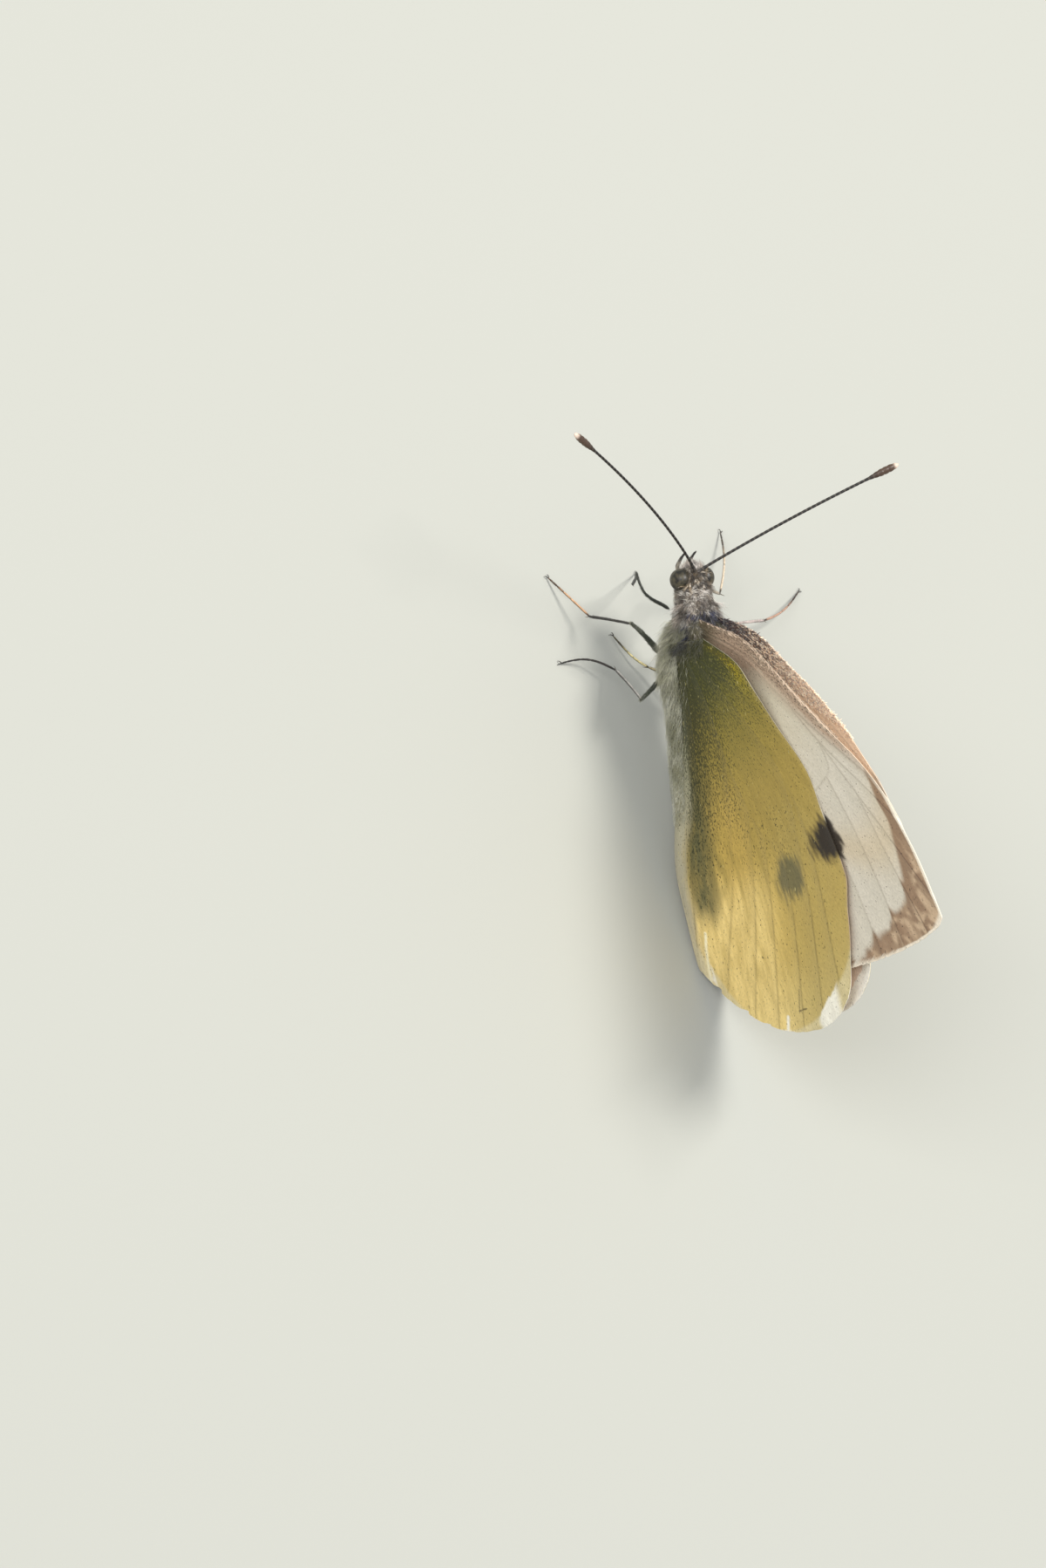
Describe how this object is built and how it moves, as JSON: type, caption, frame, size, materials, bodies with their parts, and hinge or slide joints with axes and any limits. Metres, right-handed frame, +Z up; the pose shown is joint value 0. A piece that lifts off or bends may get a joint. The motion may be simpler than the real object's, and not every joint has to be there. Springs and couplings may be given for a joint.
{
  "type": "white butterfly",
  "caption": "Life-size still white butterfly at rest on its feet, wings closed over its back, yellow dusted hindwings over cream forewings, clubbed feelers spread.",
  "frame": {"origin": "middle of the bounding box in plan, on the floor under the feet", "axes": "-X towards the head, +X towards the wing tips, -Y the butterfly's left side, +Z up"},
  "size_m": [0.0396, 0.0254, 0.0273],
  "materials": {
    "forewing_scales": "matt, finely scaled wing membrane, cream white with a brown tip",
    "hindwing_scales": "matt, finely scaled wing membrane, dull yellow dusted with grey",
    "body_hair": "short silky pale grey hair over a dark body",
    "abdomen_scales": "fine pale scales, darker above",
    "eye": "satin compound eye, dark olive brown and mottled",
    "horn": "dark horn, ringed with pale scales",
    "club": "brown horn with a pale tip",
    "leg_scales": "grey green scales over dark horn",
    "foot": "tan horn with dark claws"
  },
  "bodies": {
    "root": {"head": "body_hair", "thorax": "body_hair", "abdomen": "abdomen_scales", "proboscis": "horn", "eye_left": "eye", "palp_left": "body_hair", "antenna_shaft_left": "horn", "antenna_club_left": "club", "forewing_left": "forewing_scales", "hindwing_left": "hindwing_scales", "fore_femur_left": "leg_scales", "fore_tibia_left": "leg_scales", "fore_tarsus_left": "foot", "mid_femur_left": "leg_scales", "mid_tibia_left": "leg_scales", "mid_tarsus_left": "foot", "hind_femur_left": "leg_scales", "hind_tibia_left": "leg_scales", "hind_tarsus_left": "foot", "eye_right": "eye", "palp_right": "body_hair", "antenna_shaft_right": "horn", "antenna_club_right": "club", "forewing_right": "forewing_scales", "hindwing_right": "hindwing_scales", "fore_femur_right": "leg_scales", "fore_tibia_right": "leg_scales", "fore_tarsus_right": "foot", "mid_femur_right": "leg_scales", "mid_tibia_right": "leg_scales", "mid_tarsus_right": "foot", "hind_femur_right": "leg_scales", "hind_tibia_right": "leg_scales", "hind_tarsus_right": "foot"}
  },
  "joints": []
}
